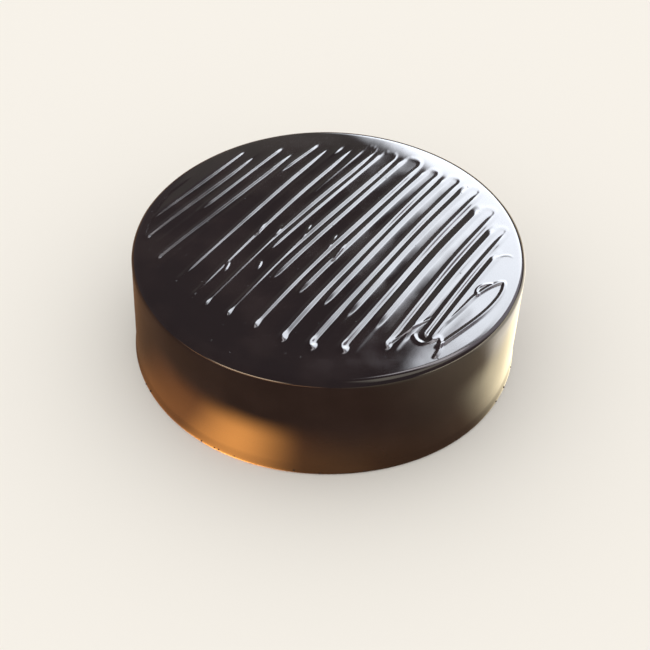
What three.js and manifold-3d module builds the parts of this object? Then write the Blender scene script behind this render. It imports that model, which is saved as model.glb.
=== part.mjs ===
// Devils food cake: a round eight-inch cake, solid and uncut, under a poured dark chocolate glaze.
// A thick line of chocolate is piped over the top in one long zigzag of tight front turns and
// wider back turns, and the glaze runs over it, so the line is a soft ridge of the same solid.
// Millimetres, +Z up. The origin is the middle of the flat underside.

import * as THREE from 'three';
import { mergeVertices } from 'three/addons/utils/BufferGeometryUtils.js';
import Module from 'manifold-3d';

// ---------- the cake ----------
const sideRadius = 100;
const topHeight = 62.3;
const rimRound = 4;
const rollOffWidth = 12;
const rollOffDrop = 0.35;
const footFlare = 0.7;
const footFlareHeight = 7;
const footRound = 0.8;
const roundSteps = 96;
const rimSteps = 4;

// A poured cake is not quite round: the top sits a little to one side of the foot,
// and the outline swells and draws in by parts of a millimetre.
const topShift = { x: 0.9, y: 0.4 };
const footShift = { x: -0.6, y: -0.2 };
const outlineLobes = [
  { count: 2, swell: 0.45, turn: 0.6 },
  { count: 3, swell: 0.35, turn: 2.1 },
  { count: 5, swell: 0.2, turn: 4.0 },
];

// ---------- the zigzag ----------
// Across runs over the strands and along runs with them, both measured from the middle of the top.
const layAngle = THREE.MathUtils.degToRad(59);
// Piped by hand, so each pair of strands has its own place across the top, gap and lean in degrees.
const pairs = [
  { place: -89.3, gap: 7.8, lean: 5.0 },
  { place: -74.1, gap: 7.7, lean: 5.0 },
  { place: -60.9, gap: 6.2, lean: 4.0 },
  { place: -45.4, gap: 5.3, lean: 2.4 },
  { place: -33.8, gap: 6.0, lean: 1.6 },
  { place: -25.3, gap: 5.5, lean: 2.8 },
  { place: -11.5, gap: 5.4, lean: 3.0 },
  { place: 4.8, gap: 6.9, lean: 2.4 },
  { place: 18.8, gap: 4.2, lean: 1.0 },
  { place: 32.7, gap: 5.8, lean: 0.8 },
  { place: 47.5, gap: 7.5, lean: 0.2 },
  { place: 62.5, gap: 7.4, lean: -0.6 },
  { place: 74.0, gap: 4.5, lean: -0.8 },
];
const lastPair = pairs.length - 1;
// The strands bow a little too, and the first one follows the rim instead of crossing it.
const bow = { across: 1.0, at: 60 };
const keepInside = 94.5;
const sway = { reach: 0.3, length: 21, perPair: 0.9, perSide: 1.2 };
// The front turns lie on a line that draws back towards both sides, the back turns on an arc.
const frontLine = { along: -71, drawnBackLeft: 37, drawnBackRight: 63, at: 90, power: 2.5 };
const backArc = { along: -2.5, radius: 89 };
const turnSpread = 1.5;
const firstLegBack = 12;
const lastLegBack = 40;

const ridgeHalfWidth = 2.6;
const ridgeHeight = 1.0;
const ridgeSink = 0.8;
// The right leg of each pair is the slighter one, most of all in the first pairs.
const rightLegScale = { first: 0.7, last: 0.95 };
const legSteps = 7;
const sectionSteps = 4;
const backTurnFatter = 1.1;
const backTurnSteps = 6;
const frontBlob = { along: 3.8, height: 1.25, overLegs: 1.6 };
const blobSides = 10;
const blobRings = 6;

// The line ends in one long leaf-shaped loop at the right, beside two small curls and a swirl.
// Their places are given across and along the strands.
const leafTip = [88, 22];
const leafInner = { from: leafTip, bend: [77, 8], to: [76, -28] };
const leafOuter = { from: leafTip, bend: [96, 0], to: [81, -36] };
const smallCurl = { from: [83, 18], bend: [76, 12], to: [81, 7] };
const crescent = { from: [77, 37], bend: [79, 43], to: [83, 42] };
const leafInnerScale = 0.75;
const leafOuterScale = 0.85;
const curlScale = 0.45;
const endSwirl = { at: [75, -34], halfLength: 4.6, halfWidth: 7.0, height: 1.2 };
const curveSteps = 6;
const endCapSides = 8;
const endCapRings = 4;
const endCapLower = 0.93;

// ---------- rules ----------

// Repeatable unevenness between -1 and 1, different for each index and each kind of use.
function unevenness(index, kind) {
  const scrambled = Math.sin(index * 12.9898 + kind * 78.233) * 43758.5453;
  return 2 * (scrambled - Math.floor(scrambled)) - 1;
}

// How far the outline stands out from the round, at an angle and a height.
function outlineAt(angle, height) {
  const share = height / topHeight;
  const shiftX = THREE.MathUtils.lerp(footShift.x, topShift.x, share);
  const shiftY = THREE.MathUtils.lerp(footShift.y, topShift.y, share);
  let swell = 0;
  for (const lobe of outlineLobes) {
    swell += lobe.swell * Math.cos(lobe.count * angle + lobe.turn);
  }
  return { shiftX, shiftY, swell };
}

// A place on the top, from across and along the strands.
function onTop(across, along) {
  const x = across * Math.sin(layAngle) + along * Math.cos(layAngle);
  const y = along * Math.sin(layAngle) - across * Math.cos(layAngle);
  return new THREE.Vector3(x, y, topHeight);
}

// Where a leg of the zigzag lies across the cake. Side 0 is the left leg of the pair, 1 the right.
function legAcross(pair, side, along) {
  const { place, gap, lean } = pairs[pair];
  const slant = Math.tan(THREE.MathUtils.degToRad(lean)) * along + bow.across * (along / bow.at) ** 2;
  const wave = Math.sin(along / sway.length + sway.perPair * pair + sway.perSide * side);
  const across = place + (side - 0.5) * gap + slant + sway.reach * wave;
  return Math.max(across, -Math.sqrt(keepInside ** 2 - along ** 2));
}

// How far along the turns lie.
function frontTurn(pair) {
  const across = legAcross(pair, 0, -50);
  const drawnBack = across < 0 ? frontLine.drawnBackLeft : frontLine.drawnBackRight;
  const share = (Math.abs(across) / frontLine.at) ** frontLine.power;
  return frontLine.along + drawnBack * share + turnSpread * unevenness(pair, 5);
}

function backTurn(pair) {
  const across = (legAcross(pair, 1, 60) + legAcross(pair + 1, 0, 60)) / 2;
  return backArc.along + Math.sqrt(backArc.radius ** 2 - across ** 2) + turnSpread * unevenness(pair, 7);
}

// ---------- solids ----------

const wasm = await Module();
wasm.setup();

function solidOf(geometry) {
  const bare = geometry.index ? geometry.toNonIndexed() : geometry;
  bare.deleteAttribute('normal');
  bare.deleteAttribute('uv');
  const merged = mergeVertices(bare, 1e-4);
  const mesh = new wasm.Mesh({
    numProp: 3,
    vertProperties: new Float32Array(merged.attributes.position.array),
    triVerts: new Uint32Array(merged.index.array),
  });
  return new wasm.Manifold(mesh);
}

function geometryOf(solid) {
  const mesh = solid.getMesh();
  const geometry = new THREE.BufferGeometry();
  geometry.setAttribute('position', new THREE.BufferAttribute(new Float32Array(mesh.vertProperties), 3));
  geometry.setIndex(new THREE.BufferAttribute(new Uint32Array(mesh.triVerts), 1));
  geometry.computeVertexNormals();
  return geometry;
}

// The round body: flat underside, slightly flared foot, upright side, rounded rim, flat top.
function bodyGeometry() {
  const profile = [new THREE.Vector2(0, 0), new THREE.Vector2(sideRadius + footFlare - footRound, 0)];
  profile.push(new THREE.Vector2(sideRadius + footFlare, footRound));
  profile.push(new THREE.Vector2(sideRadius + footFlare * 0.35, footFlareHeight * 0.5));
  profile.push(new THREE.Vector2(sideRadius, footFlareHeight));
  const rimMiddle = { r: sideRadius - rimRound, z: topHeight - rollOffDrop - rimRound };
  for (let step = 0; step <= rimSteps; step++) {
    const angle = (Math.PI / 2) * (step / rimSteps);
    const r = rimMiddle.r + rimRound * Math.cos(angle);
    profile.push(new THREE.Vector2(r, rimMiddle.z + rimRound * Math.sin(angle)));
  }
  profile.push(new THREE.Vector2(rimMiddle.r - rollOffWidth, topHeight));
  profile.push(new THREE.Vector2(0, topHeight));

  const geometry = new THREE.LatheGeometry(profile, roundSteps);
  geometry.rotateX(Math.PI / 2);
  const place = geometry.attributes.position;
  for (let i = 0; i < place.count; i++) {
    const x = place.getX(i);
    const y = place.getY(i);
    const radius = Math.hypot(x, y);
    const outline = outlineAt(Math.atan2(y, x), place.getZ(i));
    const stretch = 1 + (outline.swell * radius) / sideRadius / sideRadius;
    const share = radius / sideRadius;
    place.setXY(i, x * stretch + outline.shiftX * share, y * stretch + outline.shiftY * share);
  }
  return geometry;
}

// The ridge's section: a rounded mound whose flat base is sunk in the top.
function ridgeSection(scale) {
  const section = new THREE.Shape();
  for (let step = 0; step <= sectionSteps; step++) {
    const angle = (Math.PI * step) / sectionSteps;
    const sideways = -ridgeHalfWidth * scale * Math.cos(angle);
    const upwards = (ridgeHeight * scale + ridgeSink) * Math.sin(angle) - ridgeSink;
    if (step === 0) {
      section.moveTo(-upwards, sideways);
    } else {
      section.lineTo(-upwards, sideways);
    }
  }
  section.closePath();
  return section;
}

function ridge(path, steps, scale = 1) {
  const geometry = new THREE.ExtrudeGeometry(ridgeSection(scale), { steps, extrudePath: path });
  return solidOf(geometry);
}

// A low rounded heap of chocolate, half of it in the top.
function blob(middle, halfAlong, halfAcross, height, sides = blobSides, rings = blobRings) {
  const geometry = new THREE.SphereGeometry(1, sides, rings);
  geometry.rotateX(Math.PI / 2);
  geometry.scale(halfAlong, halfAcross, height);
  geometry.rotateZ(layAngle);
  geometry.translate(middle.x, middle.y, middle.z);
  return solidOf(geometry);
}

// The rounded end of a ridge that stops in the open.
function endCap(middle, scale = 1) {
  const reach = ridgeHalfWidth * scale;
  return blob(middle, reach, reach, ridgeHeight * scale * endCapLower, endCapSides, endCapRings);
}

function backTurnBase(pair) {
  const top = backTurn(pair);
  const halfWidth = (legAcross(pair + 1, 0, top) - legAcross(pair, 1, top)) / 2;
  return { base: top - halfWidth, halfWidth };
}

function legScale(pair, side) {
  const share = pair / lastPair;
  return side === 0 ? 1 : THREE.MathUtils.lerp(rightLegScale.first, rightLegScale.last, share);
}

function leg(pair, side) {
  const from = frontTurn(pair);
  const to = legBack(side === 0 ? pair - 1 : pair);
  const points = [];
  for (let step = 0; step < legSteps; step++) {
    const along = THREE.MathUtils.lerp(from, to, step / (legSteps - 1));
    points.push(onTop(legAcross(pair, side, along), along));
  }
  return ridge(new THREE.CatmullRomCurve3(points), legSteps, legScale(pair, side));
}

// Where a leg meets its back turn. The first and the last leg stop short of one.
function legBack(turn) {
  if (turn < 0) {
    return firstLegBack;
  }
  if (turn === lastPair) {
    return lastLegBack;
  }
  return backTurnBase(turn).base + 1;
}

function backTurnRidge(pair) {
  const { base, halfWidth } = backTurnBase(pair);
  const points = [];
  for (let step = 0; step <= backTurnSteps; step++) {
    const angle = Math.PI * (1 - step / backTurnSteps);
    const along = base + halfWidth * Math.sin(angle);
    const middle = (legAcross(pair, 1, along) + legAcross(pair + 1, 0, along)) / 2;
    points.push(onTop(middle + halfWidth * Math.cos(angle), along));
  }
  return ridge(new THREE.CatmullRomCurve3(points), backTurnSteps, backTurnFatter);
}

function frontTurnBlob(pair) {
  const along = frontTurn(pair);
  const halfAcross = (legAcross(pair, 1, along) - legAcross(pair, 0, along)) / 2 + frontBlob.overLegs;
  return blob(onTop(legAcross(pair, 0.5, along), along), frontBlob.along, halfAcross, frontBlob.height);
}

// A short ridge on one bend, with both its ends rounded.
function curl({ from, bend, to }, scale) {
  const [start, middle, end] = [from, bend, to].map(([across, along]) => onTop(across, along));
  const line = ridge(new THREE.QuadraticBezierCurve3(start, middle, end), curveSteps, scale);
  return line.add(endCap(start, scale)).add(endCap(end, scale));
}

function legEnd(pair, side, turn) {
  const along = legBack(turn);
  return endCap(onTop(legAcross(pair, side, along), along), legScale(pair, side));
}

function glazedCake() {
  let cake = solidOf(bodyGeometry());
  for (let pair = 0; pair <= lastPair; pair++) {
    cake = cake.add(leg(pair, 0)).add(leg(pair, 1)).add(frontTurnBlob(pair));
    if (pair < lastPair) {
      cake = cake.add(backTurnRidge(pair));
    }
  }
  cake = cake.add(legEnd(0, 0, -1)).add(legEnd(lastPair, 1, lastPair));
  cake = cake.add(curl(leafInner, leafInnerScale)).add(curl(leafOuter, leafOuterScale));
  cake = cake.add(curl(smallCurl, curlScale)).add(curl(crescent, curlScale));
  cake = cake.add(blob(onTop(...endSwirl.at), endSwirl.halfLength, endSwirl.halfWidth, endSwirl.height));

  const geometry = geometryOf(cake);
  geometry.computeBoundingBox();
  const middle = geometry.boundingBox.getCenter(new THREE.Vector3());
  geometry.translate(-middle.x, -middle.y, -geometry.boundingBox.min.z);
  return geometry;
}

// ---------- the part ----------

const darkGlaze = new THREE.MeshStandardMaterial({
  color: new THREE.Color('#2b1f1b'),
  roughness: 0.12,
  metalness: 0,
});

const cakeMesh = new THREE.Mesh(glazedCake(), darkGlaze);
cakeMesh.name = 'glazed_cake';

const devilsFoodCake = new THREE.Group();
devilsFoodCake.add(cakeMesh);

export default devilsFoodCake;
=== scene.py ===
import math

import bpy
from mathutils import Euler, Matrix, Vector


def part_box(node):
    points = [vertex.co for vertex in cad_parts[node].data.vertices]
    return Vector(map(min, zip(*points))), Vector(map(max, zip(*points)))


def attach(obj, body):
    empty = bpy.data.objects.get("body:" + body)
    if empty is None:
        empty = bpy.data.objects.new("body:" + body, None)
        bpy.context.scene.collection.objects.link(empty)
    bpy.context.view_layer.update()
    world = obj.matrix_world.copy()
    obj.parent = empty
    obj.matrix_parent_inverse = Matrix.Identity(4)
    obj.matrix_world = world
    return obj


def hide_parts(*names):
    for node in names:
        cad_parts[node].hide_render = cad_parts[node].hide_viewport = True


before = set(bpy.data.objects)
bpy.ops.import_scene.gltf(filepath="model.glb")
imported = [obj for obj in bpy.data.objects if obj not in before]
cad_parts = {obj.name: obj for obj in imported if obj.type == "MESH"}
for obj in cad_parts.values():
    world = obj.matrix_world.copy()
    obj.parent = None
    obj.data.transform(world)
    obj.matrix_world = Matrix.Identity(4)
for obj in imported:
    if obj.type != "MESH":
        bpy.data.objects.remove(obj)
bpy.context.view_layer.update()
cakeLow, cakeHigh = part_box("glazed_cake")
print("frame loaded")

mm = 0.001


# small helpers that add and link nodes
def addNode(tree, kind, column, row, **settings):
    node = tree.nodes.new(kind)
    node.location = (column * 190, -row * 180)
    for name, value in settings.items():
        setattr(node, name, value)
    return node


def feed(tree, socket, source):
    # a socket is fed by another socket or holds a fixed value
    if isinstance(source, bpy.types.NodeSocket):
        tree.links.new(source, socket)
    else:
        socket.default_value = source


def mathNode(tree, column, row, operation, *sources):
    node = addNode(tree, "ShaderNodeMath", column, row, operation=operation)
    for socket, source in zip(node.inputs, sources):
        feed(tree, socket, source)
    return node.outputs[0]


def vectorNode(tree, column, row, operation, first, second):
    node = addNode(tree, "ShaderNodeVectorMath", column, row, operation=operation)
    feed(tree, node.inputs[0], first)
    feed(tree, node.inputs["Scale" if operation == "SCALE" else 1], second)
    return node.outputs[0]


def mapRange(tree, column, row, value, low, high, toLow, toHigh, curve="SMOOTHSTEP"):
    node = addNode(tree, "ShaderNodeMapRange", column, row, interpolation_type=curve)
    names = ("Value", "From Min", "From Max", "To Min", "To Max")
    for name, source in zip(names, (value, low, high, toLow, toHigh)):
        feed(tree, node.inputs[name], source)
    return node.outputs["Result"]


def mixColour(tree, column, row, share, first, second):
    node = addNode(tree, "ShaderNodeMix", column, row, data_type="RGBA")
    colours = [socket for socket in node.inputs if socket.type == "RGBA"]
    feed(tree, node.inputs["Factor"], share)
    feed(tree, colours[0], first if isinstance(first, bpy.types.NodeSocket) else (*first, 1))
    feed(tree, colours[1], second if isinstance(second, bpy.types.NodeSocket) else (*second, 1))
    return [socket for socket in node.outputs if socket.type == "RGBA"][0]


# the photograph's viewpoint, with its angles in degrees
cameraLook = {
    "lens": 80.0,
    "sensor": 36.0,
    "distance": 758.1 * mm,
    "elevation": 42.13,
    "aimBelowMiddle": 1.39,
    "roll": 1.13,
    "middleHeight": 31.2 * mm,
}


def placeCamera(look):
    rise = math.radians(look["elevation"])
    data = bpy.data.cameras.new("photoCamera")
    data.lens = look["lens"]
    data.sensor_width = look["sensor"]
    data.clip_start = 0.05
    data.clip_end = 30
    camera = bpy.data.objects.new("photoCamera", data)
    bpy.context.scene.collection.objects.link(camera)
    spot = Vector((0, -math.cos(rise), math.sin(rise))) * look["distance"]
    spot.z += look["middleHeight"]
    tilt = math.pi / 2 - math.radians(look["elevation"] + look["aimBelowMiddle"])
    turned = Euler((tilt, 0, 0)).to_matrix() @ Matrix.Rotation(math.radians(look["roll"]), 3, "Z")
    camera.matrix_world = Matrix.Translation(spot) @ turned.to_4x4()
    bpy.context.scene.camera = camera


placeCamera(cameraLook)


# an even pale room, darker in the gloss, with a few soft panels of light
room = {
    "even": (1.07, 1.045, 1.015),
    "inGloss": (0.20, 0.18, 0.195),
    # a leaning panel has its left and right edges where they are given at this height
    "leanFrom": 39.0,
    # edges in degrees round and up, then the softness of the left, right, bottom and top edge
    "panels": {
        "main": {
            "round": (5.7, 46.0), "up": (18.0, 51.0), "soft": (4.6, 8.0, 6.0, 9.0),
            "lean": 0.25, "strength": 16.0, "colour": (0.88, 0.925, 1.0),
        },
        "besideMain": {
            "round": (46.0, 88.0), "up": (14.0, 60.0), "soft": (10.0, 20.0, 10.0, 14.0),
            "lean": 0.25, "strength": 2.2, "colour": (0.93, 0.88, 1.0),
        },
        "aboveMain": {
            "round": (12.0, 72.0), "up": (57.0, 66.0), "soft": (12.0, 20.0, 6.0, 8.0),
            "lean": 0.0, "strength": 7.0, "colour": (1.0, 0.97, 1.0),
        },
        "overTheRight": {
            "round": (92.0, 152.0), "up": (46.0, 78.0), "soft": (24.0, 24.0, 12.0, 12.0),
            "lean": 0.0, "strength": 2.0, "colour": (1.0, 0.95, 0.78),
        },
        "leftGlow": {
            "round": (-14.0, 3.0), "up": (6.0, 37.0), "soft": (8.0, 8.0, 10.0, 4.0),
            "lean": 0.0, "strength": 0.24, "colour": (0.92, 1.0, 0.80),
        },
        "frontStrip": {
            "round": (-158.0, -122.0), "up": (9.0, 17.0), "soft": (14.0, 14.0, 4.0, 4.0),
            "lean": 0.0, "strength": 13.0, "colour": (1.0, 0.74, 0.5),
        },
        "lowWarmStrip": {
            "round": (-175.0, -105.0), "up": (0.5, 4.5), "soft": (14.0, 20.0, 1.0, 3.0),
            "lean": 0.0, "strength": 6.0, "colour": (1.0, 0.48, 0.2),
        },
        "rightStrip": {
            "round": (62.0, 132.0), "up": (0.5, 7.0), "soft": (12.0, 16.0, 1.0, 4.0),
            "lean": 0.0, "strength": 7.0, "colour": (1.0, 0.9, 0.66),
        },
    },
}


def addPanel(tree, row, around, rise, panel):
    # light from one soft-edged patch of the room
    left, right = (math.radians(value) for value in panel["round"])
    bottom, top = (math.radians(value) for value in panel["up"])
    softLeft, softRight, softBottom, softTop = (math.radians(value) / 2 for value in panel["soft"])
    above = mathNode(tree, 2, row, "SUBTRACT", rise, math.radians(room["leanFrom"]))
    leaning = mathNode(tree, 3, row, "MULTIPLY", above, panel["lean"])
    across = mathNode(tree, 4, row, "SUBTRACT", around, leaning)
    edges = [
        mapRange(tree, 5, row, across, left - softLeft, left + softLeft, 0.0, 1.0),
        mapRange(tree, 5, row + 0.4, across, right - softRight, right + softRight, 1.0, 0.0),
        mapRange(tree, 5, row + 0.8, rise, bottom - softBottom, bottom + softBottom, 0.0, 1.0),
        mapRange(tree, 5, row + 1.2, rise, top - softTop, top + softTop, 1.0, 0.0),
    ]
    sides = mathNode(tree, 6, row, "MULTIPLY", edges[0], edges[1])
    ends = mathNode(tree, 6, row + 0.8, "MULTIPLY", edges[2], edges[3])
    share = mathNode(tree, 7, row, "MULTIPLY", sides, ends)
    light = tuple(value * panel["strength"] for value in panel["colour"])
    return vectorNode(tree, 8, row, "SCALE", light, share)


def addRoom():
    world = bpy.data.worlds.new("paleRoom")
    bpy.context.scene.world = world
    world.use_nodes = True
    tree = world.node_tree
    tree.nodes.clear()
    direction = addNode(tree, "ShaderNodeTexCoord", -1, 0).outputs["Generated"]
    split = addNode(tree, "ShaderNodeSeparateXYZ", 0, 0)
    feed(tree, split.inputs[0], direction)
    around = mathNode(tree, 1, 0, "ARCTAN2", split.outputs["X"], split.outputs["Y"])
    rise = mathNode(tree, 1, 1, "ARCSINE", split.outputs["Z"])
    total = addNode(tree, "ShaderNodeCombineXYZ", 8, -1)
    for socket, value in zip(total.inputs, room["inGloss"]):
        socket.default_value = value
    mirrored = total.outputs[0]
    for count, panel in enumerate(room["panels"].values()):
        light = addPanel(tree, 2 * count, around, rise, panel)
        mirrored = vectorNode(tree, 9 + count, 2 * count, "ADD", mirrored, light)
    rays = addNode(tree, "ShaderNodeLightPath", 12, -1)
    seen = mixColour(tree, 14, 0, rays.outputs["Is Glossy Ray"], room["even"], mirrored)
    glow = addNode(tree, "ShaderNodeBackground", 15, 0)
    feed(tree, glow.inputs["Color"], seen)
    out = addNode(tree, "ShaderNodeOutputWorld", 16, 0)
    feed(tree, out.inputs["Surface"], glow.outputs["Background"])


floorLook = {
    "size": 8.0,
    "below": 0.2 * mm,
    "paper": (0.876, 0.855, 0.807),
    # the floor looks dim and warm in the mirror of the glaze, and paler towards the right
    "inGloss": (0.30, 0.165, 0.09),
    "inGlossRight": (0.88, 0.76, 0.54),
    "paleFrom": 30 * mm,
    "paleTo": 190 * mm,
    # the glaze also mirrors warm and pale light from the floor: its middle in degrees round the cake,
    # how far to both sides it is full and where it ends, and whether it stays close to the foot
    "glows": [
        {"middle": -117.0, "full": 0.0, "end": 22.0, "close": True, "colour": (8.6, 3.5, 0.8)},
        {"middle": -126.0, "full": 5.0, "end": 46.0, "close": True, "colour": (1.25, 0.42, 0.10)},
        {"middle": -6.0, "full": 14.0, "end": 38.0, "close": True, "colour": (2.1, 1.85, 1.25)},
        {"middle": 8.0, "full": 18.0, "end": 33.0, "close": False, "colour": (1.9, 1.8, 1.6)},
    ],
    "closeReach": (117 * mm, 134 * mm),
}


def addGlows(tree, split, look):
    # the sum of the glows at a place on the floor
    angle = mathNode(tree, -8, 4, "ARCTAN2", split.outputs["Y"], split.outputs["X"])
    squareX = mathNode(tree, -8, 6, "MULTIPLY", split.outputs["X"], split.outputs["X"])
    squareY = mathNode(tree, -8, 7, "MULTIPLY", split.outputs["Y"], split.outputs["Y"])
    radius = mathNode(tree, -7, 6, "SQRT", mathNode(tree, -7, 7, "ADD", squareX, squareY))
    close = mapRange(tree, -6, 6, radius, *look["closeReach"], 1.0, 0.0)
    beyond = mapRange(tree, -6, 7, radius, *look["closeReach"], 0.0, 1.0)
    total = (0.0, 0.0, 0.0)
    for row, glow in enumerate(look["glows"]):
        middle, full, end = (math.radians(glow[label]) for label in ("middle", "full", "end"))
        off = mathNode(tree, -7, 10 + row, "SUBTRACT", angle, middle)
        apart = mathNode(tree, -6, 10 + row, "ABSOLUTE", off)
        facing = mapRange(tree, -5, 10 + row, apart, full, end, 1.0, 0.0)
        share = mathNode(tree, -4, 10 + row, "MULTIPLY", facing, close if glow["close"] else beyond)
        light = vectorNode(tree, -3, 10 + row, "SCALE", glow["colour"], share)
        total = vectorNode(tree, -2, 10 + row, "ADD", light, total)
    return total


def addFloor(look):
    half = look["size"] / 2
    mesh = bpy.data.meshes.new("floor")
    corners = [(-half, -half, 0), (half, -half, 0), (half, half, 0), (-half, half, 0)]
    mesh.from_pydata(corners, [], [(0, 1, 2, 3)])
    floor = bpy.data.objects.new("floor", mesh)
    bpy.context.scene.collection.objects.link(floor)
    material = bpy.data.materials.new("palePaper")
    material.use_nodes = True
    tree = material.node_tree
    shader = tree.nodes["Principled BSDF"]
    rays = addNode(tree, "ShaderNodeLightPath", -3, 0)
    split = addNode(tree, "ShaderNodeSeparateXYZ", -5, 1)
    feed(tree, split.inputs[0], addNode(tree, "ShaderNodeTexCoord", -6, 1).outputs["Object"])
    pale = mapRange(tree, -4, 1, split.outputs["X"], look["paleFrom"], look["paleTo"], 0.0, 1.0)
    mirrored = mixColour(tree, -3, 1, pale, look["inGloss"], look["inGlossRight"])
    tone = mixColour(tree, -2, 0, rays.outputs["Is Glossy Ray"], look["paper"], mirrored)
    feed(tree, shader.inputs["Base Color"], tone)
    shader.inputs["Roughness"].default_value = 1.0
    shader.inputs["Specular IOR Level"].default_value = 0.0
    glows = addGlows(tree, split, look)
    shine = mixColour(tree, -1, 9, rays.outputs["Is Glossy Ray"], (0.0, 0.0, 0.0), glows)
    feed(tree, shader.inputs["Emission Color"], shine)
    shader.inputs["Emission Strength"].default_value = 1.0
    material.cycles.emission_sampling = "NONE"
    mesh.materials.append(material)
    floor.location.z = -look["below"]


addRoom()
addFloor(floorLook)
bpy.context.scene.view_settings.view_transform = "Standard"
print("camera, room and floor placed")


glazeLook = {
    "dark": (0.0120, 0.0074, 0.0079),
    "lighter": (0.0185, 0.0114, 0.0112),
    # painted reflection: the warm brown that the glaze colour turns to near the foot
    "paintedFootSheen": (0.085, 0.040, 0.017),
    "sheenReach": 34 * mm,
    # painted reflection: the warm sheen painted near the foot is strongest at the front left
    "sheenTowards": (-0.57, -0.82, 0.0),
    "sheenFrom": 0.35,
    "sheenElsewhere": 0.2,
    "cloudScale": 38.0,
    "cloudEdges": (0.35, 0.7),
    "sheenCloudScale": 22.0,
    "sheenCloudEdges": (0.35, 0.68),
    "sheenCloudLeast": 0.6,
    "smooth": 0.05,
    "dull": 0.12,
    "ior": 1.5,
    "grainScale": 900.0,
    "grainStrength": 0.03,
    "grainDepth": 0.05 * mm,
}


def makeGlaze(look):
    material = bpy.data.materials.new("chocolateGlaze")
    material.use_nodes = True
    tree = material.node_tree
    shader = tree.nodes["Principled BSDF"]
    place = addNode(tree, "ShaderNodeTexCoord", -8, 0).outputs["Object"]

    # the glaze is a little lighter in slow clouds
    clouds = addNode(tree, "ShaderNodeTexNoise", -6, 0)
    feed(tree, clouds.inputs["Vector"], place)
    clouds.inputs["Scale"].default_value = look["cloudScale"]
    clouds.inputs["Detail"].default_value = 3.0
    share = mapRange(tree, -5, 0, clouds.outputs["Fac"], *look["cloudEdges"], 0.0, 1.0)
    coat = mixColour(tree, -4, 0, share, look["dark"], look["lighter"])

    # painted reflection: a warm brown sheen is painted into the colour towards the foot, in patches,
    # strongest at the front left
    height = addNode(tree, "ShaderNodeSeparateXYZ", -6, 2)
    feed(tree, height.inputs[0], place)
    low = mapRange(tree, -5, 2, height.outputs["Z"], 0.0, look["sheenReach"], 1.0, 0.0)
    patches = addNode(tree, "ShaderNodeTexNoise", -6, 3)
    feed(tree, patches.inputs["Vector"], place)
    patches.inputs["Scale"].default_value = look["sheenCloudScale"]
    patches.inputs["Detail"].default_value = 2.0
    edges, least = look["sheenCloudEdges"], look["sheenCloudLeast"]
    patchySheen = mapRange(tree, -5, 3, patches.outputs["Fac"], *edges, least, 1.0)
    toOneSide = addNode(tree, "ShaderNodeVectorMath", -6, 4, operation="DOT_PRODUCT")
    feed(tree, toOneSide.inputs[0], place)
    feed(tree, toOneSide.inputs[1], look["sheenTowards"])
    towards, reach = toOneSide.outputs["Value"], body["sideRadius"]
    sheenFrom = look["sheenFrom"] * reach
    sheenSide = mapRange(tree, -5, 4, towards, sheenFrom, reach, look["sheenElsewhere"], 1.0)
    # painted reflection: this share sets how much warm sheen is painted into the colour
    thin = mathNode(tree, -4, 2, "MULTIPLY", low, mathNode(tree, -4, 3, "MULTIPLY", patchySheen, sheenSide))
    feed(tree, shader.inputs["Base Color"], mixColour(tree, -3, 1, thin, coat, look["paintedFootSheen"]))

    # mirror gloss, slightly dulled in the same clouds
    roughness = mapRange(tree, -4, 4, share, 0.0, 1.0, look["smooth"], look["dull"])
    feed(tree, shader.inputs["Roughness"], roughness)
    grain = addNode(tree, "ShaderNodeTexNoise", -4, 5)
    feed(tree, grain.inputs["Vector"], place)
    grain.inputs["Scale"].default_value = look["grainScale"]
    bump = addNode(tree, "ShaderNodeBump", -2, 5)
    bump.inputs["Strength"].default_value = look["grainStrength"]
    bump.inputs["Distance"].default_value = look["grainDepth"]
    feed(tree, bump.inputs["Height"], grain.outputs["Fac"])
    feed(tree, shader.inputs["Normal"], bump.outputs["Normal"])
    shader.inputs["IOR"].default_value = look["ior"]
    return material


crumbLook = {
    "dark": (0.020, 0.010, 0.006),
    "light": (0.060, 0.030, 0.016),
    "poreScale": 420.0,
    "poreDepth": 0.6 * mm,
    "poreStrength": 0.7,
    "patchScale": 60.0,
    "lightFrom": 0.4,
    "roughness": 0.9,
}


def makeCrumb(look):
    material = bpy.data.materials.new("spongeCrumb")
    material.use_nodes = True
    tree = material.node_tree
    shader = tree.nodes["Principled BSDF"]
    place = addNode(tree, "ShaderNodeTexCoord", -6, 0).outputs["Object"]
    pores = addNode(tree, "ShaderNodeTexVoronoi", -5, 0)
    feed(tree, pores.inputs["Vector"], place)
    pores.inputs["Scale"].default_value = look["poreScale"]
    patches = addNode(tree, "ShaderNodeTexNoise", -5, 2)
    feed(tree, patches.inputs["Vector"], place)
    patches.inputs["Scale"].default_value = look["patchScale"]
    share = mathNode(tree, -4, 1, "MULTIPLY", pores.outputs["Distance"], patches.outputs["Fac"])
    amount = mapRange(tree, -3, 3, share, 0.0, look["lightFrom"], 0.0, 1.0)
    feed(tree, shader.inputs["Base Color"], mixColour(tree, -2, 1, amount, look["dark"], look["light"]))
    shader.inputs["Roughness"].default_value = look["roughness"]
    bump = addNode(tree, "ShaderNodeBump", -2, 3)
    bump.inputs["Strength"].default_value = look["poreStrength"]
    bump.inputs["Distance"].default_value = look["poreDepth"]
    feed(tree, bump.inputs["Height"], pores.outputs["Distance"])
    feed(tree, shader.inputs["Normal"], bump.outputs["Normal"])
    return material


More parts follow.
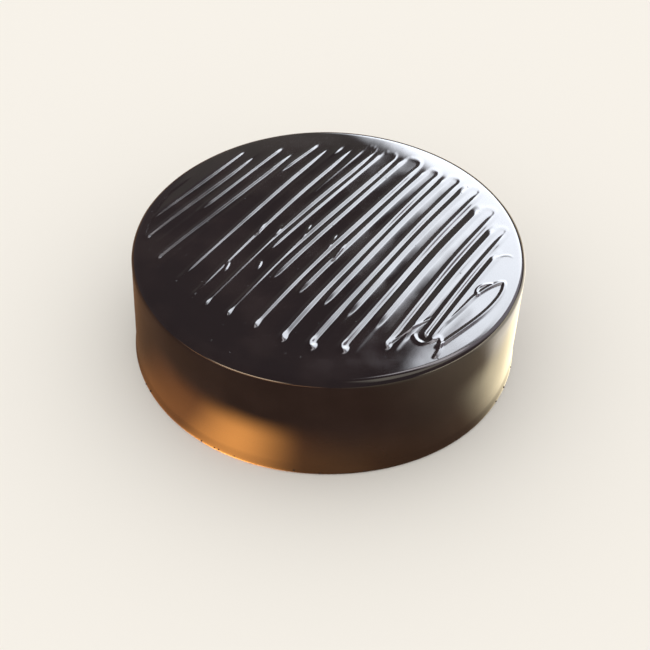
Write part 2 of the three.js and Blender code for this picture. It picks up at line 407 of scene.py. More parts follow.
# the smooth body under the piping
body = {
    "sideRadius": 100 * mm,
    "topHeight": 62.3 * mm,
    "rimRound": 4 * mm,
    "rollOffWidth": 12 * mm,
    "rollOffDrop": 0.35 * mm,
    "footFlare": 0.7 * mm,
    "footFlareHeight": 7 * mm,
    "footRound": 0.8 * mm,
    "topShift": (0.9 * mm, 0.4 * mm),
    "footShift": (-0.6 * mm, -0.2 * mm),
    # number of lobes, swell, turn
    "lobes": [(2, 0.45 * mm, 0.6), (3, 0.35 * mm, 2.1), (5, 0.2 * mm, 4.0)],
    # the grid of the top: its columns, its rows and how far out it goes of the flat part
    "across": 520,
    "along": 146,
    "gridReach": 0.985,
    "gridStraightens": 6,  # the power with which the lean of the columns ends at the rim
    "rimSteps": 6,
    "sideSteps": 8,
    "footSteps": 5,
    "layAngle": math.radians(59),
}


def outlined(x, y, z):
    # moves a point of the plain round to the cake's own slightly uneven outline
    radius = math.hypot(x, y)
    angle = math.atan2(y, x)
    up = z / body["topHeight"]
    swell = sum(size * math.cos(count * angle + turn) for count, size, turn in body["lobes"])
    share = radius / body["sideRadius"]
    stretch = 1 + swell * share / body["sideRadius"]
    shiftX = body["footShift"][0] + (body["topShift"][0] - body["footShift"][0]) * up
    shiftY = body["footShift"][1] + (body["topShift"][1] - body["footShift"][1]) * up
    return x * stretch + shiftX * share, y * stretch + shiftY * share, z


def onTop(across, along):
    lay = body["layAngle"]
    x = across * math.sin(lay) + along * math.cos(lay)
    y = along * math.sin(lay) - across * math.cos(lay)
    return x, y


def profileBelowRim():
    # radius and height from the end of the flat top down to the edge of the underside
    rimRound, top = body["rimRound"], body["topHeight"] - body["rollOffDrop"]
    points = []
    for step in range(1, body["rimSteps"] + 1):
        angle = math.pi / 2 * (1 - step / body["rimSteps"])
        radius = body["sideRadius"] - rimRound + rimRound * math.cos(angle)
        points.append((radius, top - rimRound + rimRound * math.sin(angle)))
    sideTop, sideFoot = points[-1][1], body["footFlareHeight"]
    for step in range(1, body["sideSteps"] + 1):
        points.append((body["sideRadius"], sideTop + (sideFoot - sideTop) * step / body["sideSteps"]))
    footEnd = body["footRound"]
    for step in range(1, body["footSteps"] + 1):
        share = step / body["footSteps"]
        flare = body["footFlare"] * share * share * (3 - 2 * share)
        points.append((body["sideRadius"] + flare, sideFoot + (footEnd - sideFoot) * share))
    for angle in (45, 90):
        turn = math.radians(angle)
        radius = body["sideRadius"] + body["footFlare"] - footEnd * (1 - math.cos(turn))
        points.append((radius, footEnd * (1 - math.sin(turn))))
    return points


def topDrop(radius):
    start = body["sideRadius"] - body["rimRound"] - body["rollOffWidth"]
    share = min(max((radius - start) / body["rollOffWidth"], 0), 1)
    return body["rollOffDrop"] * share * share


def gridPlace(a, b):
    # the columns of the top's grid lie along the strands, leaning as they do, up to near the rim
    flat = body["sideRadius"] - body["rimRound"]
    across = a * body["gridReach"] * flat
    along = b * math.sqrt(flat ** 2 - across ** 2)
    inside = 1 - (math.hypot(across, along) / flat) ** body["gridStraightens"]
    return across + slant(leanAt(across / mm), along / mm) * mm * inside, along


def makeBody():
    columns, rows = body["across"], body["along"]
    points, faces = [], []
    for row in range(rows + 1):
        for column in range(columns + 1):
            x, y = onTop(*gridPlace(2 * column / columns - 1, 2 * row / rows - 1))
            points.append((x, y, body["topHeight"] - topDrop(math.hypot(x, y))))
    wide = columns + 1
    for row in range(rows):
        for column in range(columns):
            first = row * wide + column
            faces.append((first, first + 1, first + 1 + wide, first + wide))
    ring = list(range(columns))
    ring += [columns + row * wide for row in range(rows)]
    ring += [rows * wide + column for column in range(columns, 0, -1)]
    ring += [row * wide for row in range(rows, 0, -1)]
    angles = [math.atan2(points[i][1], points[i][0]) for i in ring]
    for level, (radius, height) in enumerate(profileBelowRim()):
        # below the rim the side has only every second column of the top
        if level == body["rimSteps"]:
            angles = angles[::2]
        start = len(points)
        points += [(radius * math.cos(angle), radius * math.sin(angle), height) for angle in angles]
        fresh = list(range(start, start + len(angles)))
        each = len(ring) // len(fresh)
        for i in range(len(fresh)):
            upper = [ring[(each * i + k) % len(ring)] for k in range(each, -1, -1)]
            faces.append((fresh[i], fresh[(i + 1) % len(fresh)], *upper))
        ring = fresh
    points.append((0, 0, 0))
    for i in range(len(ring)):
        faces.append((ring[i], len(points) - 1, ring[(i + 1) % len(ring)]))

    mesh = bpy.data.meshes.new("cakeBody")
    mesh.from_pydata([outlined(*point) for point in points], [], faces)
    mesh.update()
    return mesh


# across runs over the piped strands and along runs with them, in millimetres from the middle of the top
piping = {
    # piped by hand, so each pair of strands has its own place, gap and lean in degrees
    "pairs": [
        (-89.3, 7.8, 5.0), (-74.3, 7.2, 5.0), (-60.4, 5.3, 5.2), (-45.1, 4.8, 2.4), (-33.4, 5.2, 1.6),
        (-24.2, 4.0, 2.8), (-11.1, 4.7, 2.6), (4.6, 5.5, 2.2), (18.7, 4.9, 1.0), (32.2, 5.1, 0.8),
        (46.7, 7.1, 0.5), (62.3, 6.0, -0.3), (74.0, 4.5, -0.8),
    ],
    "bow": {"across": 1.0, "at": 60},
    # the first strand follows the rim instead of crossing it
    "keepInside": 94.5,
    "sway": {"reach": 0.3, "length": 21, "perPair": 0.9, "perSide": 1.2},
    # the front turns lie on a line that draws back towards both sides, the back turns on an arc,
    # both by how far across a strand is at the place along it that readAt gives
    "frontLine": {"along": -71, "left": 37, "right": 63, "at": 90, "power": 2.5, "readAt": -50},
    "backArc": {"along": -2.5, "radius": 89, "rightFurther": 5.5, "from": 15, "to": 50, "readAt": 60},
    "turnSpread": 1.5,
    "firstLegBack": 12,
    "lastLegBack": 40,
    "step": 0.8,
    "fewestTurnSteps": 8,
    "riseSpread": 0.10,
    "riseWaves": {"long": 17, "short": 7.3, "perPair": 2.3},
    # the back turns are low, lowest in the first pairs
    "turnRise": {"first": 0.08, "last": 0.22, "fromPair": 2, "toPair": 7},
    "turnReach": 13.0,
    # a left leg starts as a thin point in the first pairs
    "startReach": 24.0,
    "startSpread": {"first": 0.25, "last": 1.0, "fromPair": 4, "toPair": 9},
    # the legs are smaller in the first pairs, and those round the sixth sink in towards the front
    "legSize": {"first": 0.68, "last": 1.0, "fromPair": 4, "toPair": 9},
    "frontSinks": {"by": 0.66, "atPair": 5.5, "over": 3.0, "from": 26.0, "to": -28.0},
    "firstSinks": {"by": 0.5, "atPair": 0, "over": 0.5},
    # it ends in a small blob that hooks to the right, most of all in the pairs round the tenth
    "blobRise": {"least": 0.0, "most": 0.55, "atPair": 8.3, "over": 4.0},
    "blobReach": 4.5,
    "hook": {"least": 0.4, "most": 2.6, "atPair": 9.4, "over": 1.3},
    "hookSteps": 6,
    # the pairs round the fourth fade out before their front end
    "tipFades": {"by": 0.75, "atPair": 3.5, "over": 0.9, "reach": 16.0},
    # a right leg is lower, and fades out on its way to the front, soonest in the first pairs
    "rightRise": 0.66,
    "rightSpread": 0.88,
    "rightBackSpread": 0.4,
    "rightSinks": {"by": 0.7, "atPair": 4.0, "over": 1.0},
    # how wide the left flank is against the right one; a right leg's is widest in the last pairs
    "leftLegFlank": 0.8,
    "rightLegFlank": {"first": 1.0, "last": 2.0, "fromPair": 7.5, "toPair": 10.5},
    "rightTurnReach": 7.0,
    "fadeAt": -36.0,
    "fadeSooner": {"by": 105.0, "atPair": 2.9, "over": 1.6},
    "fadeLength": 14.0,
    "fadedRise": 0.12,
}


def unevenness(index, kind):
    # repeatable, between -1 and 1
    scrambled = math.sin(index * 12.9898 + kind * 78.233) * 43758.5453
    return 2 * (scrambled - math.floor(scrambled)) - 1


def eased(value):
    value = min(max(value, 0), 1)
    return value * value * (3 - 2 * value)


def slant(lean, along):
    # how far a leaning and bowed strand has moved across
    bow = piping["bow"]
    return math.tan(math.radians(lean)) * along + bow["across"] * (along / bow["at"]) ** 2


def leanAt(across):
    # the lean of the strands near a place, from the pairs on both sides of it
    for (leftPlace, _, leftLean), (rightPlace, _, rightLean) in zip(piping["pairs"], piping["pairs"][1:]):
        if across < rightPlace:
            share = max((across - leftPlace) / (rightPlace - leftPlace), 0)
            return leftLean + (rightLean - leftLean) * share
    return piping["pairs"][-1][2]


def legAcross(pair, side, along):
    place, gap, lean = piping["pairs"][pair]
    sway = piping["sway"]
    wave = math.sin(along / sway["length"] + sway["perPair"] * pair + sway["perSide"] * side)
    across = place + (side - 0.5) * gap + slant(lean, along) + sway["reach"] * wave
    return max(across, -math.sqrt(piping["keepInside"] ** 2 - along ** 2))


def frontTurn(pair):
    line = piping["frontLine"]
    across = legAcross(pair, 0, line["readAt"])
    drawnBack = line["left"] if across < 0 else line["right"]
    share = (abs(across) / line["at"]) ** line["power"]
    return line["along"] + drawnBack * share + piping["turnSpread"] * unevenness(pair, 5)


def backTurn(pair):
    arc = piping["backArc"]
    across = (legAcross(pair, 1, arc["readAt"]) + legAcross(pair + 1, 0, arc["readAt"])) / 2
    along = arc["along"] + math.sqrt(arc["radius"] ** 2 - across ** 2)
    along += piping["turnSpread"] * unevenness(pair, 7)
    return along + arc["rightFurther"] * eased((across - arc["from"]) / (arc["to"] - arc["from"]))


def backTurnBase(pair):
    top = backTurn(pair)
    half = (legAcross(pair + 1, 0, top) - legAcross(pair, 1, top)) / 2
    return top - half, half


lastPair = len(piping["pairs"]) - 1


def legBack(turn):
    # where a leg meets its back turn; the first and the last leg stop short of one
    if turn < 0:
        return piping["firstLegBack"]
    if turn == lastPair:
        return piping["lastLegBack"]
    return backTurnBase(turn)[0]


def slowChange(pair, side, along):
    look = piping["riseWaves"]
    slow = math.sin(along / look["long"] + look["perPair"] * pair + side)
    slow += math.sin(along / look["short"] + pair)
    return 1 + piping["riseSpread"] * slow / 2


def grown(look, pair):
    # goes from the first value to the last over the given pairs
    share = eased((pair - look["fromPair"]) / (look["toPair"] - look["fromPair"]))
    return look["first"] + (look["last"] - look["first"]) * share


def nearPair(look, pair):
    # 1 at one pair, falling to 0 on both sides of it
    return math.exp(-((pair - look["atPair"]) / look["over"]) ** 2)


def mostAt(look, pair):
    return look["least"] + (look["most"] - look["least"]) * nearPair(look, pair)


def leftLeg(pair):
    # the back turn that leads into the leg, the leg, and the hook at its front end
    found = []
    base = legBack(pair - 1)
    low = grown(piping["turnRise"], pair - 1)
    size = grown(piping["legSize"], pair)
    thin = size * grown(piping["startSpread"], pair)
    sinks, firstSinks = piping["frontSinks"], piping["firstSinks"]
    sinking = sinks["by"] * nearPair(sinks, pair)
    lower = firstSinks["by"] * nearPair(firstSinks, pair)
    if pair > 0:
        half = backTurnBase(pair - 1)[1]
        count = max(int(math.pi * half / piping["step"]), piping["fewestTurnSteps"])
        for step in range(count):
            angle = math.pi * step / count
            along = base + half * math.sin(angle)
            middleAcross = (legAcross(pair - 1, 1, along) + legAcross(pair, 0, along)) / 2
            found.append((middleAcross - half * math.cos(angle), along, low * size, thin))
    blob = mostAt(piping["blobRise"], pair)
    fades = piping["tipFades"]
    fading = fades["by"] * nearPair(fades, pair)
    tip = frontTurn(pair)
    count = int((base - tip) / piping["step"])
    for step in range(count + 1):
        along = base + (tip - base) * step / count
        rise = size * slowChange(pair, 0, along) * (1 - lower)
        rise *= low + (1 - low) * eased((base - along) / piping["turnReach"])
        rise *= 1 - sinking * eased((sinks["from"] - along) / (sinks["from"] - sinks["to"]))
        rise *= 1 - fading * eased(1 - (along - tip) / fades["reach"])
        rise += blob * eased(1 - (along - tip) / piping["blobReach"])
        spread = thin + (size - thin) * eased((base - along) / piping["startReach"])
        found.append((legAcross(pair, 0, along), along, rise, spread))
    across, _, rise, spread = found[-1]
    radius = mostAt(piping["hook"], pair)
    for step in range(1, piping["hookSteps"] + 1):
        angle = math.pi / 2 * step / piping["hookSteps"]
        side = radius * (1 - math.cos(angle))
        found.append((across + side, tip - radius * math.sin(angle), rise, spread))
    return found


def rightLeg(pair):
    # from its back turn to the front, fading
    base = legBack(pair)
    tip = frontTurn(pair)
    sooner, sinks = piping["fadeSooner"], piping["rightSinks"]
    size = grown(piping["legSize"], pair)
    fadeAt = piping["fadeAt"] + sooner["by"] * nearPair(sooner, pair)
    count = int((base - tip) / piping["step"])
    found = []
    for step in range(count + 1):
        along = base + (tip - base) * step / count
        near = eased(1 - (base - along) / piping["rightTurnReach"])
        rise = piping["rightRise"] + (grown(piping["turnRise"], pair) - piping["rightRise"]) * near
        left = eased((along - fadeAt) / piping["fadeLength"] + 0.5)
        rise *= piping["fadedRise"] + (1 - piping["fadedRise"]) * left
        rise *= size * (1 - sinks["by"] * nearPair(sinks, pair))
        spread = size * (piping["rightSpread"] + piping["rightBackSpread"] * near)
        found.append((legAcross(pair, 1, along), along, rise * slowChange(pair, 1, along), spread))
    return found


# the line ends at the right in a long leaf-shaped loop, with a few small curls round it
ending = {
    "leaf": [(76, -28), (79, -6), (80.5, 6), (84, 17), (88, 22), (90.6, 12), (89, -6), (82, -35)],
    "leafRise": 0.6,
    "leafSpread": 0.72,
    # start, knee, end, rise and spread of the small thin curls, on top of everything else
    "curls": [
        ((83, 18), (76, 12), (81, 7), 1.0, 1.1),
        ((77, 37), (79, 43), (83, 42), 0.6, 1.0),
        ((70, -20), (65, -30), (62, -46), 0.8, 1.3),
        ((69, -35), (76, -42), (79, -30), 1.3, 1.5),
        ((79, -29), (84, -33), (84, -42), 1.2, 1.4),
    ],
    "curlEndRise": 0.6,
    "curlFlank": 1.0,
    # across, along and length of the short nicks, and how far aside they start, bend and end
    "nicks": [
        (-27.5, -4, 9), (-36, -8, 8), (-15, 3, 9), (0.5, 3, 10), (8, -2, 12), (-34, -42, 6), (-21, -32, 5),
    ],
    "nickSides": (-1, 0.4, 0.6),
    "nickRise": 1.0,
    "nickSpread": 0.9,
    "nickSteps": 16,
}


def bend(start, knee, end, rise, spread, steps=40):
    # a short free stroke on one bend, lower at its ends
    low = ending["curlEndRise"]
    found = []
    for step in range(steps + 1):
        t = step / steps
        across = (1 - t) ** 2 * start[0] + 2 * t * (1 - t) * knee[0] + t * t * end[0]
        along = (1 - t) ** 2 * start[1] + 2 * t * (1 - t) * knee[1] + t * t * end[1]
        full = low + (1 - low) * math.sin(math.pi * t) ** 0.5
        found.append((across, along, rise * full, spread))
    return found


def throughPoints(places, rise, spread, steps=8):
    # a smooth free stroke through a few places
    ends = [places[0], *places, places[-1]]
    found = []
    for i in range(1, len(ends) - 2):
        before, start, end, after = (Vector(ends[k]) for k in range(i - 1, i + 3))
        for step in range(steps):
            t = step / steps
            place = start + (end - before) / 2 * t
            place += (before - start * 2.5 + end * 2 - after / 2) * t * t
            place += (start * 1.5 - before / 2 - end * 1.5 + after / 2) * t ** 3
            found.append((place.x, place.y, rise, spread))
    found.append((*places[-1], rise, spread))
    return found


leaf = throughPoints(ending["leaf"], ending["leafRise"], ending["leafSpread"])
curls = [bend(*curl) for curl in ending["curls"]]
for across, along, length in ending["nicks"]:
    ends = zip(ending["nickSides"], (1, 0, -1))
    nick = [(across + side, along + end * length / 2) for side, end in ends]
    curls.append(bend(*nick, ending["nickRise"], ending["nickSpread"], ending["nickSteps"]))


bodyMesh = makeBody()
outer = [point.co for point in bodyMesh.vertices]
middle = Vector((
    (min(p.x for p in outer) + max(p.x for p in outer)) / 2,
    (min(p.y for p in outer) + max(p.y for p in outer)) / 2,
    0,
))
toFrame = Vector(((cakeLow.x + cakeHigh.x) / 2, (cakeLow.y + cakeHigh.y) / 2, cakeLow.z)) - middle
bodyMesh.transform(Matrix.Translation(toFrame))
print("body made, moved by", [round(value * 1000, 2) for value in toFrame], "mm")


def makePath(name, strokes, flanks):
    # the strokes as edges that carry how high and wide they are, and how wide their left flanks are
    points, edges, rises, spreads, widths = [], [], [], [], []
    for stroke, flank in zip(strokes, flanks):
        start = len(points)
        for across, along, rise, spread in stroke:
            x, y = onTop(across * mm, along * mm)
            points.append(Vector(outlined(x, y, body["topHeight"])) + toFrame)
            rises.append(rise)
            spreads.append(spread)
            widths.append(flank)
        edges += [(i, i + 1) for i in range(start, len(points) - 1)]
    mesh = bpy.data.meshes.new(name)
    mesh.from_pydata(points, edges, [])
    for label, values in (("rise", rises), ("spread", spreads), ("flank", widths)):
        layer = mesh.attributes.new(label, "FLOAT", "POINT")
        layer.data.foreach_set("value", values)
    path = bpy.data.objects.new(name, mesh)
    bpy.context.scene.collection.objects.link(path)
    return path


pairs = range(lastPair + 1)
leftStrokes = [leftLeg(pair) for pair in pairs] + [leaf]
rightStrokes = [rightLeg(pair) for pair in pairs]
rightFlanks = [grown(piping["rightLegFlank"], pair) for pair in pairs]
paths = {
    "Left Legs": makePath("leftLegs", leftStrokes, [piping["leftLegFlank"]] * len(leftStrokes)),
    "Right Legs": makePath("rightLegs", rightStrokes, rightFlanks),
    "Curls": makePath("curls", curls, [ending["curlFlank"]] * len(curls)),
}
print("piping paths have", sum(len(path.data.vertices) for path in paths.values()), "points")


# the poured glaze runs over the piping as a relief that follows its paths
pour = {
    "Ridge Height": 0.78 * mm,
    "Ridge Half Width": 2.7 * mm,
    # the glaze draws up to a strand in a wide low skirt, so the valleys are slightly hollow
    "Left Skirt Share": 0.06,
    "Right Skirt Share": 0.34,
    "Skirt Width": 6.5 * mm,
    "Curl Height": 0.32 * mm,
    "Curl Half Width": 1.0 * mm,
    "Blend": 0.2 * mm,
    "Soften": 1,
    "Ripple Depth": 0.45 * mm,
    "Ripple Size": 26 * mm,
    # the top has run level, so it ripples less than the side
    "Top Share": 0.4,
    "Dimple Depth": 0.02 * mm,
    "Dimple Size": 8 * mm,
    "Foot Height": 5 * mm,
    "Seed": 4.0,
}


def newTree(name, inputs):
    tree = bpy.data.node_groups.new(name, "GeometryNodeTree")
    tree.is_modifier = True
    tree.interface.new_socket(name="Geometry", in_out="INPUT", socket_type="NodeSocketGeometry")
    for label, kind in inputs:
        tree.interface.new_socket(name=label, in_out="INPUT", socket_type="NodeSocket" + kind)
    tree.interface.new_socket(name="Geometry", in_out="OUTPUT", socket_type="NodeSocketGeometry")
    return tree


def runTree(thing, tree, values):
    # sets each named input by its identifier, then turns the result into a plain mesh
    modifier = thing.modifiers.new(tree.name, "NODES")
    modifier.node_group = tree
    sockets = {item.name: item.identifier for item in tree.interface.items_tree if item.in_out == "INPUT"}
    for label, value in values.items():
        modifier[sockets[label]] = value
    bpy.context.view_layer.update()
    evaluated = thing.evaluated_get(bpy.context.evaluated_depsgraph_get())
    made = bpy.data.meshes.new_from_object(evaluated)
    thing.modifiers.remove(modifier)
    thing.data = made
    return thing


def sampled(tree, row, geometry, index, label):
    stored = addNode(tree, "GeometryNodeInputNamedAttribute", -4, row, data_type="FLOAT")
    stored.inputs["Name"].default_value = label
    node = addNode(tree, "GeometryNodeSampleIndex", -3, row, data_type="FLOAT")
    feed(tree, node.inputs["Geometry"], geometry)
    feed(tree, node.inputs["Value"], stored.outputs["Attribute"])
    feed(tree, node.inputs["Index"], index)
    return node.outputs["Value"]


def mound(tree, row, path, height, halfWidth, skirtShare, skirtWidth):
    # a rounded mound with soft feet and a low hollow skirt along the strokes of one path
    shape = addNode(tree, "GeometryNodeObjectInfo", -8, row)
    feed(tree, shape.inputs["Object"], path)
    strokes = shape.outputs["Geometry"]
    near = addNode(tree, "GeometryNodeProximity", -7, row, target_element="EDGES")
    feed(tree, near.inputs[0], strokes)
    distance = near.outputs["Distance"]
    nearest = addNode(tree, "GeometryNodeSampleNearest", -7, row + 1)
    feed(tree, nearest.inputs["Geometry"], strokes)
    index = nearest.outputs["Index"]

    # the left flank can be wider than the right one
    place = addNode(tree, "GeometryNodeInputPosition", -7, row + 0.5).outputs[0]
    away = vectorNode(tree, -6, row, "SUBTRACT", place, near.outputs["Position"])
    toRight = (math.sin(body["layAngle"]), -math.cos(body["layAngle"]), 0.0)
    sideways = addNode(tree, "ShaderNodeVectorMath", -5, row, operation="DOT_PRODUCT")
    feed(tree, sideways.inputs[0], away)
    feed(tree, sideways.inputs[1], toRight)
    turned = mathNode(tree, -4, row, "DIVIDE", sideways.outputs["Value"], distance)
    flank = sampled(tree, row + 0.5, strokes, index, "flank")
    sideOn = 0.7  # past this share of the way to one side a flank has its full width
    widened = mapRange(tree, -3, row, turned, -sideOn, sideOn, flank, 1.0)

    spread = mathNode(tree, -2, row + 0.5, "MULTIPLY", sampled(tree, row, strokes, index, "spread"), widened)
    reach = mathNode(tree, -2, row, "MULTIPLY", halfWidth, spread)
    ratio = mathNode(tree, -1, row, "DIVIDE", distance, reach)
    rounded = mapRange(tree, 0, row, ratio, 0.0, 1.0, 1.0, 0.0)
    closeness = mapRange(tree, -1, row + 0.5, distance, 0.0, skirtWidth, 1.0, 0.0, "LINEAR")
    hollow = mathNode(tree, 0, row + 0.5, "MULTIPLY", closeness, closeness)
    section = mathNode(tree, 1, row + 0.5, "MULTIPLY_ADD", hollow, skirtShare, rounded)
    tall = mathNode(tree, 0, row + 1, "MULTIPLY", height, sampled(tree, row + 1, strokes, index, "rise"))
    return mathNode(tree, 2, row + 0.5, "MULTIPLY", section, tall)


def waves(tree, row, place, seed, size, depth, detail):
    noise = addNode(tree, "ShaderNodeTexNoise", 0, row, noise_dimensions="4D")
    feed(tree, noise.inputs["Vector"], place)
    feed(tree, noise.inputs["W"], seed)
    feed(tree, noise.inputs["Scale"], mathNode(tree, -1, row, "DIVIDE", 1.0, size))
    noise.inputs["Detail"].default_value = detail
    centred = mathNode(tree, 1, row, "SUBTRACT", noise.outputs["Fac"], 0.5)
    return mathNode(tree, 2, row, "MULTIPLY", centred, depth)


def makePourTree():
    tree = newTree("pouredGlaze", [
        ("Left Legs", "Object"), ("Right Legs", "Object"), ("Curls", "Object"),
        ("Ridge Height", "Float"), ("Ridge Half Width", "Float"),
        ("Left Skirt Share", "Float"), ("Right Skirt Share", "Float"), ("Skirt Width", "Float"),
        ("Curl Height", "Float"), ("Curl Half Width", "Float"), ("Blend", "Float"), ("Soften", "Int"),
        ("Ripple Depth", "Float"), ("Ripple Size", "Float"), ("Top Share", "Float"),
        ("Dimple Depth", "Float"), ("Dimple Size", "Float"),
        ("Foot Height", "Float"), ("Seed", "Float"), ("Glaze", "Material"), ("Crumb", "Material"),
    ])
    given = addNode(tree, "NodeGroupInput", -8, 0).outputs
    place = addNode(tree, "GeometryNodeInputPosition", -8, 6).outputs[0]

    # the glaze joins the strands where they come close, and the curls lie on top
    ridge = (given["Ridge Height"], given["Ridge Half Width"])
    noSkirt = (0.0, 1 * mm)
    left = mound(tree, 0, given["Left Legs"], *ridge, given["Left Skirt Share"], given["Skirt Width"])
    right = mound(tree, 2, given["Right Legs"], *ridge, given["Right Skirt Share"], given["Skirt Width"])
    curl = mound(tree, 4, given["Curls"], given["Curl Height"], given["Curl Half Width"], *noSkirt)
    joined = mathNode(tree, 2, 0, "SMOOTH_MAX", left, right, given["Blend"])
    soft = addNode(tree, "GeometryNodeBlurAttribute", 3, 0, data_type="FLOAT")
    feed(tree, soft.inputs["Value"], joined)
    feed(tree, soft.inputs["Iterations"], given["Soften"])
    relief = mathNode(tree, 4, 0, "ADD", soft.outputs["Value"], curl)

    # slow ripples and small dimples all over, none at the very foot
    ripples = waves(tree, 6, place, given["Seed"], given["Ripple Size"], given["Ripple Depth"], 1.0)
    dimples = waves(tree, 7, place, given["Seed"], given["Dimple Size"], given["Dimple Depth"], 1.0)
    facing = addNode(tree, "GeometryNodeInputNormal", 0, 9).outputs[0]
    faceUp = addNode(tree, "ShaderNodeSeparateXYZ", 1, 9)
    feed(tree, faceUp.inputs[0], facing)
    steep, level = 0.2, 0.95  # how much of a face's normal points up on the side and on the top
    calm = mapRange(tree, 2, 9, faceUp.outputs["Z"], steep, level, 1.0, given["Top Share"])
    both = mathNode(tree, 4, 6, "ADD", mathNode(tree, 3, 6, "MULTIPLY", ripples, calm), dimples)
    split = addNode(tree, "ShaderNodeSeparateXYZ", 0, 8)
    feed(tree, split.inputs[0], place)
    aboveFoot = mapRange(tree, 1, 8, split.outputs["Z"], 0.0, given["Foot Height"], 0.0, 1.0)
    waviness = mathNode(tree, 5, 7, "MULTIPLY", both, aboveFoot)

    outward = vectorNode(tree, 5, 6, "SCALE", facing, waviness)
    upward = addNode(tree, "ShaderNodeCombineXYZ", 5, 0)
    feed(tree, upward.inputs["Z"], relief)
    moved = addNode(tree, "GeometryNodeSetPosition", 7, 0)
    feed(tree, moved.inputs["Geometry"], given["Geometry"])
    feed(tree, moved.inputs["Offset"], vectorNode(tree, 6, 1, "ADD", outward, upward.outputs[0]))

    # smooth glaze above, bare crumb below
    smooth = addNode(tree, "GeometryNodeSetShadeSmooth", 8, 0)
    feed(tree, smooth.inputs["Geometry"], moved.outputs["Geometry"])
    real = addNode(tree, "GeometryNodeRealizeInstances", 9, 0)
    feed(tree, real.inputs["Geometry"], smooth.outputs["Geometry"])
    coat = addNode(tree, "GeometryNodeSetMaterial", 10, 0)
    feed(tree, coat.inputs["Geometry"], real.outputs["Geometry"])
    feed(tree, coat.inputs["Material"], given["Glaze"])
    under = addNode(tree, "FunctionNodeCompare", 10, 3, operation="LESS_THAN")
    feed(tree, under.inputs["A"], faceUp.outputs["Z"])
    under.inputs["B"].default_value = -level
    base = addNode(tree, "GeometryNodeSetMaterial", 11, 0)
    feed(tree, base.inputs["Geometry"], coat.outputs["Geometry"])
    feed(tree, base.inputs["Selection"], under.outputs["Result"])
    feed(tree, base.inputs["Material"], given["Crumb"])
    out = addNode(tree, "NodeGroupOutput", 12, 0)
    feed(tree, out.inputs["Geometry"], base.outputs["Geometry"])
    return tree


glaze = makeGlaze(glazeLook)
crumb = makeCrumb(crumbLook)
cake = bpy.data.objects.new("glazedCake", bodyMesh)
bpy.context.scene.collection.objects.link(cake)
runTree(cake, makePourTree(), {**pour, **paths, "Glaze": glaze, "Crumb": crumb})
for path in paths.values():
    bpy.data.objects.remove(path)
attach(cake, "root")
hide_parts("glazed_cake")
cake.data.calc_loop_triangles()
print("glaze poured:", len(cake.data.loop_triangles), "triangles")


# small specks and bubbles that stuck in the glaze
specks = {
    "Spread": 5.0 * mm,
    "Amount": 0.16,
    "Smallest": 0.18 * mm,
    "Largest": 0.42 * mm,
    "Flatness": 0.45,
    "Seed": 7,
}
# a few crumbs along the foot
footCrumbs = {
    "Spread": 2.2 * mm,
    "Amount": 0.3,
    "Smallest": 0.25 * mm,
    "Largest": 0.6 * mm,
    "Flatness": 0.8,
    "Seed": 11,
}


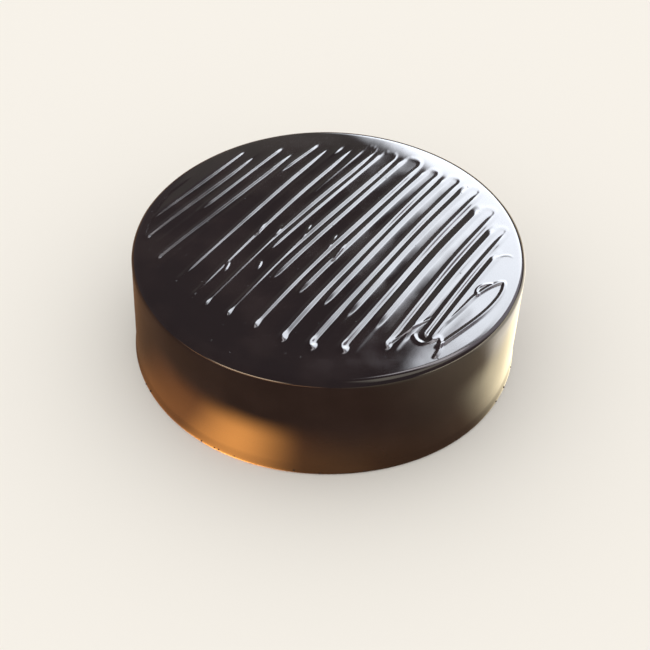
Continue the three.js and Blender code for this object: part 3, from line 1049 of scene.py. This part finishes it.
def makeScatterTree():
    # low round grains, half sunk in the surface that they are scattered on
    tree = newTree("scatteredGrains", [
        ("Spread", "Float"), ("Amount", "Float"), ("Smallest", "Float"), ("Largest", "Float"),
        ("Flatness", "Float"), ("Seed", "Int"), ("Material", "Material"),
    ])
    given = addNode(tree, "NodeGroupInput", -6, 0).outputs
    scatter = addNode(tree, "GeometryNodeDistributePointsOnFaces", -4, 0, distribute_method="POISSON")
    feed(tree, scatter.inputs["Mesh"], given["Geometry"])
    feed(tree, scatter.inputs["Distance Min"], given["Spread"])
    patch = mathNode(tree, -6, 1, "MULTIPLY", given["Spread"], given["Spread"])
    perArea = mathNode(tree, -5, 1, "DIVIDE", 1.0, patch)
    feed(tree, scatter.inputs["Density Max"], perArea)
    feed(tree, scatter.inputs["Density Factor"], given["Amount"])
    feed(tree, scatter.inputs["Seed"], given["Seed"])
    grain = addNode(tree, "GeometryNodeMeshIcoSphere", -4, 2)
    grain.inputs["Radius"].default_value = 1.0
    grain.inputs["Subdivisions"].default_value = 2
    size = addNode(tree, "FunctionNodeRandomValue", -4, 3, data_type="FLOAT")
    numbers = [socket for socket in size.inputs if socket.type == "VALUE" and socket.enabled]
    feed(tree, numbers[0], given["Smallest"])
    feed(tree, numbers[1], given["Largest"])
    feed(tree, size.inputs["Seed"], given["Seed"])
    across = [socket for socket in size.outputs if socket.type == "VALUE" and socket.enabled][0]
    shape = addNode(tree, "ShaderNodeCombineXYZ", -3, 3)
    feed(tree, shape.inputs["X"], across)
    feed(tree, shape.inputs["Y"], across)
    feed(tree, shape.inputs["Z"], mathNode(tree, -3, 4, "MULTIPLY", across, given["Flatness"]))
    placed = addNode(tree, "GeometryNodeInstanceOnPoints", -2, 0)
    feed(tree, placed.inputs["Points"], scatter.outputs["Points"])
    feed(tree, placed.inputs["Instance"], grain.outputs["Mesh"])
    feed(tree, placed.inputs["Rotation"], scatter.outputs["Rotation"])
    feed(tree, placed.inputs["Scale"], shape.outputs[0])
    real = addNode(tree, "GeometryNodeRealizeInstances", -1, 0)
    feed(tree, real.inputs["Geometry"], placed.outputs["Instances"])
    smooth = addNode(tree, "GeometryNodeSetShadeSmooth", 0, 0)
    feed(tree, smooth.inputs["Geometry"], real.outputs["Geometry"])
    coat = addNode(tree, "GeometryNodeSetMaterial", 1, 0)
    feed(tree, coat.inputs["Geometry"], smooth.outputs["Geometry"])
    feed(tree, coat.inputs["Material"], given["Material"])
    out = addNode(tree, "NodeGroupOutput", 2, 0)
    feed(tree, out.inputs["Geometry"], coat.outputs["Geometry"])
    return tree


def patchOf(name, source, keep):
    # a copy of the faces of a mesh whose middle passes a test
    mesh = bpy.data.meshes.new(name)
    kept = [polygon for polygon in source.polygons if keep(polygon.center)]
    used = sorted({index for polygon in kept for index in polygon.vertices})
    number = {index: place for place, index in enumerate(used)}
    faces = [[number[index] for index in polygon.vertices] for polygon in kept]
    mesh.from_pydata([source.vertices[index].co for index in used], [], faces)
    thing = bpy.data.objects.new(name, mesh)
    bpy.context.scene.collection.objects.link(thing)
    return thing


# how far below the top the specks reach, and between which heights and how far out the crumbs lie
zones = {"belowTop": 1 * mm, "footLow": 0.8 * mm, "footHigh": 2.2 * mm, "footOut": 0.98}


def onTopZone(centre):
    return centre.z > body["topHeight"] - zones["belowTop"]


def atFoot(centre):
    outside = math.hypot(centre.x, centre.y) > zones["footOut"] * body["sideRadius"]
    return outside and zones["footLow"] < centre.z < zones["footHigh"]


scatterTree = makeScatterTree()
for name, keep, sizes, material in (
    ("glazeSpecks", onTopZone, specks, glaze),
    ("footCrumbs", atFoot, footCrumbs, crumb),
):
    grains = runTree(patchOf(name, cake.data, keep), scatterTree, {**sizes, "Material": material})
    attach(grains, "root")
    print(name, "has", len(grains.data.polygons), "faces")
